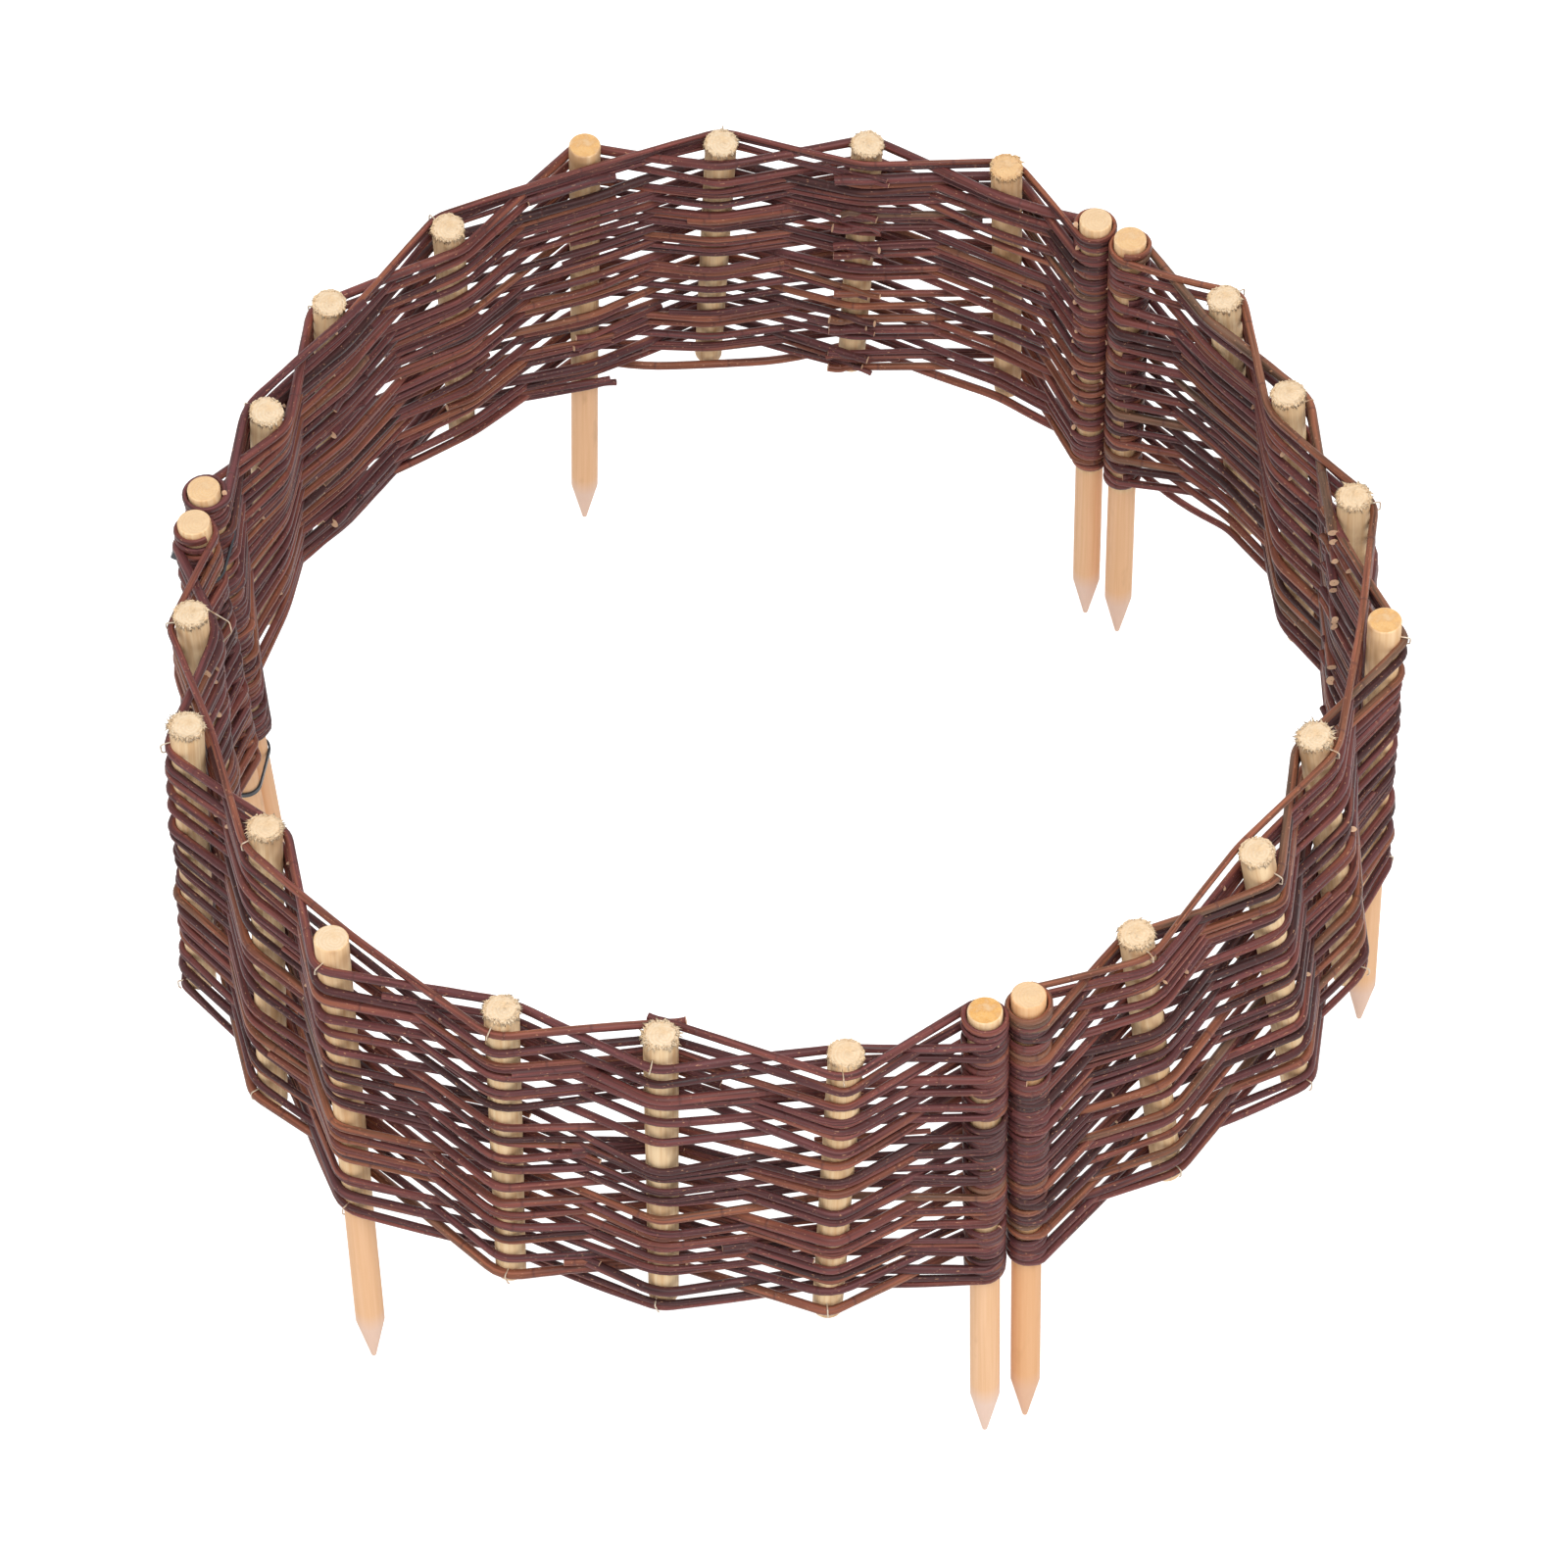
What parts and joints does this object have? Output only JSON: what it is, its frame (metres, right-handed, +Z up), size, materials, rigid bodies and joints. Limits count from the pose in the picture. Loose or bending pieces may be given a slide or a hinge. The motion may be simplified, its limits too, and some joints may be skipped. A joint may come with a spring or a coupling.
{
  "type": "willow bed edging ring",
  "caption": "Woven willow edging: three curved wattle panels of turned stakes and rods that stand end to end in a ring, with pointed legs for soft ground.",
  "frame": {"origin": "on the floor under the points of the legs, in the middle of the plan box", "axes": "+Z up along the stakes; -Y towards the side seen in front in the picture; +X to the right there"},
  "size_m": [0.6426, 0.6716, 0.3401],
  "materials": {
    "stakes": "matt, peeled and turned",
    "rods": "satin bark",
    "cable_ties": "matt nylon"
  },
  "bodies": {
    "root": {"right_stake_1": "stakes", "right_stake_2": "stakes", "right_stake_3": "stakes", "right_stake_4": "stakes", "right_stake_5": "stakes", "right_stake_6": "stakes", "right_stake_7": "stakes", "right_stake_8": "stakes", "right_stake_9": "stakes", "right_rods_1": "rods", "right_rods_2": "rods", "right_rods_3": "rods", "right_rods_4": "rods", "right_rods_5": "rods", "right_rods_6": "rods", "right_rods_7": "rods", "right_rods_8": "rods", "right_rods_9": "rods", "back_stake_1": "stakes", "back_stake_2": "stakes", "back_stake_3": "stakes", "back_stake_4": "stakes", "back_stake_5": "stakes", "back_stake_6": "stakes", "back_stake_7": "stakes", "back_stake_8": "stakes", "back_stake_9": "stakes", "back_rods_1": "rods", "back_rods_2": "rods", "back_rods_3": "rods", "back_rods_4": "rods", "back_rods_5": "rods", "back_rods_6": "rods", "back_rods_7": "rods", "back_rods_8": "rods", "back_rods_9": "rods", "left_stake_1": "stakes", "left_stake_2": "stakes", "left_stake_3": "stakes", "left_stake_4": "stakes", "left_stake_5": "stakes", "left_stake_6": "stakes", "left_stake_7": "stakes", "left_stake_8": "stakes", "left_stake_9": "stakes", "left_rods_1": "rods", "left_rods_2": "rods", "left_rods_3": "rods", "left_rods_4": "rods", "left_rods_5": "rods", "left_rods_6": "rods", "left_rods_7": "rods", "left_rods_8": "rods", "left_rods_9": "rods", "upper_cable_tie": "cable_ties", "lower_cable_tie": "cable_ties"}
  },
  "joints": []
}
